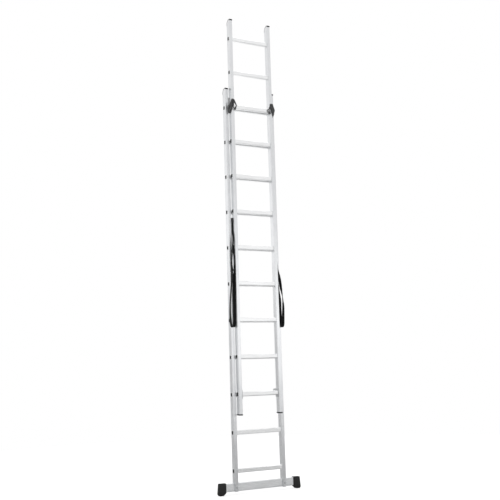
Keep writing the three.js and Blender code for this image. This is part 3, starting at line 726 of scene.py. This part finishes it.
def centripetal(route, step):
    """Even steps along a centripetal Catmull-Rom curve, each with its turn, and the curve's length."""
    places = [Vector(stop[:3]) * MM for stop in route]
    turns = [stop[3] for stop in route]
    places = [2 * places[0] - places[1]] + places + [2 * places[-1] - places[-2]]
    dense = []
    for i in range(1, len(places) - 2):
        p0, p1, p2, p3 = places[i - 1:i + 3]
        t1 = (p1 - p0).length ** 0.5
        t2 = t1 + (p2 - p1).length ** 0.5
        t3 = t2 + (p3 - p2).length ** 0.5
        for k in range(SPAN_STEPS):
            share = k / SPAN_STEPS
            t = t1 + (t2 - t1) * share
            a1 = p0.lerp(p1, t / t1)
            a2 = p1.lerp(p2, (t - t1) / (t2 - t1))
            a3 = p2.lerp(p3, (t - t2) / (t3 - t2))
            b1 = a1.lerp(a2, t / t2)
            b2 = a2.lerp(a3, (t - t1) / (t3 - t1))
            eased = share * share * (3 - 2 * share)
            turn = turns[i - 1] + (turns[i] - turns[i - 1]) * eased
            dense.append((b1.lerp(b2, (t - t1) / (t2 - t1)), turn))
    dense.append((places[-2], turns[-1]))
    travelled = [0.0]
    for before, after in zip(dense, dense[1:]):
        travelled.append(travelled[-1] + (after[0] - before[0]).length)
    count = round(travelled[-1] / step)
    even = []
    k = 0
    for i in range(count + 1):
        goal = travelled[-1] * i / count
        while k < len(dense) - 2 and travelled[k + 1] < goal:
            k += 1
        part = (goal - travelled[k]) / (travelled[k + 1] - travelled[k])
        (low, low_turn), (high, high_turn) = dense[k:k + 2]
        even.append((low.lerp(high, part), low_turn + (high_turn - low_turn) * part))
    return even, travelled[-1]


def band_section():
    """The band's cross-section: two flat faces and rounded selvedges. Pairs of across and through."""
    half, thick = STRAP_WIDTH / 2, STRAP_THICKNESS / 2
    edge = 1.4 * MM
    across = [-half + edge, -half / 3, half / 3, half - edge]
    points = [(a, -thick) for a in across]
    points += [(half - 0.4 * MM, -thick * 0.7), (half, 0), (half - 0.4 * MM, thick * 0.7)]
    points += [(a, thick) for a in reversed(across)]
    points += [(-half + 0.4 * MM, thick * 0.7), (-half, 0), (-half + 0.4 * MM, -thick * 0.7)]
    return points


def make_strap(side):
    node = f"spreader_strap_{side}"
    stations, length = centripetal(STRAP_ROUTES[side], STRAP_STEP)
    section = band_section()
    rings = []
    last = len(stations) - 1
    for i, (centre, turn) in enumerate(stations):
        before = stations[max(i - 1, 0)][0]
        after = stations[min(i + 1, last)][0]
        along = (after - before).normalized()
        wide = Matrix.Rotation(math.radians(turn), 3, "Z") @ Vector((0, 1, 0))
        wide = (wide - along * wide.dot(along)).normalized()
        through = along.cross(wide)
        rings.append([centre + wide * a + through * t for a, t in section])
    piece = loft(f"{node}_band", rings, [webbing])
    uv = piece.data.uv_layers.new(name="weave")
    count = len(section)
    pitch = length / last
    for polygon in piece.data.polygons:
        for corner in polygon.loop_indices:
            station, point = divmod(piece.data.loops[corner].vertex_index, count)
            uv.data[corner].uv = (section[point][0], pitch * station)
    stand_in_for(piece, node)


for side in SIDES:
    make_strap(side)

# ---- floor and light --------------------------------------------------------------

FLOOR_RADIUS = 5
FLOOR_SIDES = 96
# Painted shade and painted light: the floor's grey is darker in front of the ladder and lighter behind it,
# for what the metal mirrors.
FLOOR_FRONT_PAINTED_SHADE = (0.4, 0.4, 0.4)
FLOOR_REAR_PAINTED_LIGHT = (0.58, 0.58, 0.58)
FLOOR_FADE = 1.2             # how far from the ladder its tone settles, in front and behind
FLOOR_LIFT = 0.62            # what the camera sees it give off beyond what it reflects


def radiance(nodes, value, strength=1.0):
    """A background of one grey value."""
    node = nodes.new("ShaderNodeBackground")
    node.inputs["Color"].default_value = (value, value, value, 1)
    node.inputs["Strength"].default_value = strength
    return node


def make_floor():
    """A pale seamless floor: white to the eye, and in what the metal mirrors a softer grey
    that is darker in front of the ladder than behind it, as painted shade in front and painted light behind."""
    material, nodes, links, shader, coordinates = new_material("floor")
    axes = nodes.new("ShaderNodeSeparateXYZ")
    links.new(coordinates.outputs["Object"], axes.inputs["Vector"])
    depth = nodes.new("ShaderNodeMapRange")
    depth.interpolation_type = "SMOOTHSTEP"
    depth.inputs["From Min"].default_value = -FLOOR_FADE
    depth.inputs["From Max"].default_value = FLOOR_FADE
    links.new(axes.outputs["Y"], depth.inputs["Value"])
    # Painted shade in front of the ladder and painted light behind it, in the floor's own grey.
    tone = blend_colours(nodes, links, depth.outputs["Result"], FLOOR_FRONT_PAINTED_SHADE, FLOOR_REAR_PAINTED_LIGHT)
    links.new(tone, shader.inputs["Base Color"])
    mottle = noise(nodes, links, coordinates.outputs["Object"], 3, 2.0)
    links.new(spread(nodes, links, mottle, 0.85, 0.95), shader.inputs["Roughness"])
    glow = nodes.new("ShaderNodeEmission")
    path = nodes.new("ShaderNodeLightPath")
    lift = nodes.new("ShaderNodeMath")
    lift.operation = "MULTIPLY"
    lift.inputs[1].default_value = FLOOR_LIFT
    links.new(path.outputs["Is Camera Ray"], lift.inputs[0])
    links.new(lift.outputs["Value"], glow.inputs["Strength"])
    both = nodes.new("ShaderNodeAddShader")
    links.new(shader.outputs["BSDF"], both.inputs[0])
    links.new(glow.outputs["Emission"], both.inputs[1])
    links.new(both.outputs["Shader"], nodes["Material Output"].inputs["Surface"])
    rim = []
    for i in range(FLOOR_SIDES):
        angle = 2 * math.pi * i / FLOOR_SIDES
        rim.append((FLOOR_RADIUS * math.cos(angle), FLOOR_RADIUS * math.sin(angle), 0))
    floor = new_piece("floor", rim, [tuple(range(FLOOR_SIDES))], [material])


# What the metal mirrors, as (sine of the elevation, radiance). In front of the ladder a bank of light
# at the horizon fades upwards, and behind it the room is dim near the horizon, bright above and below.
FRONT_LIGHT = (
    (-1.0, 0.7), (-0.2, 0.8), (-0.087, 0.5), (-0.065, 0.68), (-0.03, 0.9), (0.0, 1.2), (0.02, 1.4),
    (0.085, 1.4), (0.11, 1.08), (0.13, 0.95), (0.16, 0.8), (0.22, 0.77), (0.28, 0.85), (0.32, 0.88),
    (0.6, 0.88), (1.0, 0.9),
)
REAR_LIGHT = (
    (-1.0, 0.8), (-0.34, 0.85), (-0.24, 1.3), (-0.1, 1.35), (-0.08, 0.61), (-0.065, 0.47), (-0.02, 0.5),
    (0.03, 0.65), (0.06, 0.72), (0.09, 0.9), (0.12, 1.14), (0.15, 1.22), (0.19, 1.12), (0.26, 1.04),
    (0.32, 0.96), (0.6, 0.92), (1.0, 0.9),
)
TURNOVER = 0.4               # the two mix in directions whose Y part is smaller than this


def light_bank(nodes, links, elevation, stops):
    """Looks a radiance up by elevation in a colour ramp, scaled to stay within its range."""
    peak = max(value for _, value in stops)
    ramp = nodes.new("ShaderNodeValToRGB")
    ramp.color_ramp.interpolation = "LINEAR"
    marks = ramp.color_ramp.elements
    while len(marks) < len(stops):
        marks.new(0.5)
    for mark, (sine, _) in zip(marks, stops):
        mark.position = (sine + 1) / 2
    for mark, (_, value) in zip(marks, stops):
        share = value / peak
        mark.color = (share, share, share, 1)
    place = nodes.new("ShaderNodeMapRange")
    place.inputs["From Min"].default_value = -1
    place.inputs["From Max"].default_value = 1
    links.new(elevation, place.inputs["Value"])
    links.new(place.outputs["Result"], ramp.inputs["Fac"])
    bank = radiance(nodes, 1, peak)
    links.new(ramp.outputs["Color"], bank.inputs["Color"])
    return bank


def make_world():
    """Soft light from all round, with a white background for the camera."""
    world = bpy.data.worlds.new("studio")
    scene.world = world
    world.use_nodes = True
    nodes, links = world.node_tree.nodes, world.node_tree.links
    nodes.clear()
    out = nodes.new("ShaderNodeOutputWorld")
    coordinates = nodes.new("ShaderNodeTexCoord")
    axes = nodes.new("ShaderNodeSeparateXYZ")
    links.new(coordinates.outputs["Generated"], axes.inputs["Vector"])
    front = light_bank(nodes, links, axes.outputs["Z"], FRONT_LIGHT)
    rear = light_bank(nodes, links, axes.outputs["Z"], REAR_LIGHT)
    behind = nodes.new("ShaderNodeMapRange")
    behind.interpolation_type = "SMOOTHSTEP"
    behind.inputs["From Min"].default_value = -TURNOVER
    behind.inputs["From Max"].default_value = TURNOVER
    links.new(axes.outputs["Y"], behind.inputs["Value"])
    room = nodes.new("ShaderNodeMixShader")
    links.new(behind.outputs["Result"], room.inputs["Fac"])
    links.new(front.outputs["Background"], room.inputs[1])
    links.new(rear.outputs["Background"], room.inputs[2])
    path = nodes.new("ShaderNodeLightPath")
    seen = nodes.new("ShaderNodeMixShader")
    links.new(path.outputs["Is Camera Ray"], seen.inputs["Fac"])
    links.new(room.outputs["Shader"], seen.inputs[1])
    links.new(radiance(nodes, 1.0).outputs["Background"], seen.inputs[2])
    links.new(seen.outputs["Shader"], out.inputs["Surface"])


def area_light(name, place, target, size, power):
    """A rectangular light that faces its target."""
    data = bpy.data.lights.new(name, "AREA")
    data.shape = "RECTANGLE"
    data.size, data.size_y = size
    data.energy = power
    light = bpy.data.objects.new(name, data)
    scene.collection.objects.link(light)
    light.location = place
    light.rotation_euler = (Vector(target) - Vector(place)).to_track_quat("-Z", "Y").to_euler()


make_floor()
make_world()
area_light("key", place=(3.0, -2.0, 9.0), target=(0, 0, 1.6), size=(3.0, 3.0), power=70)
scene.view_settings.view_transform = "Standard"
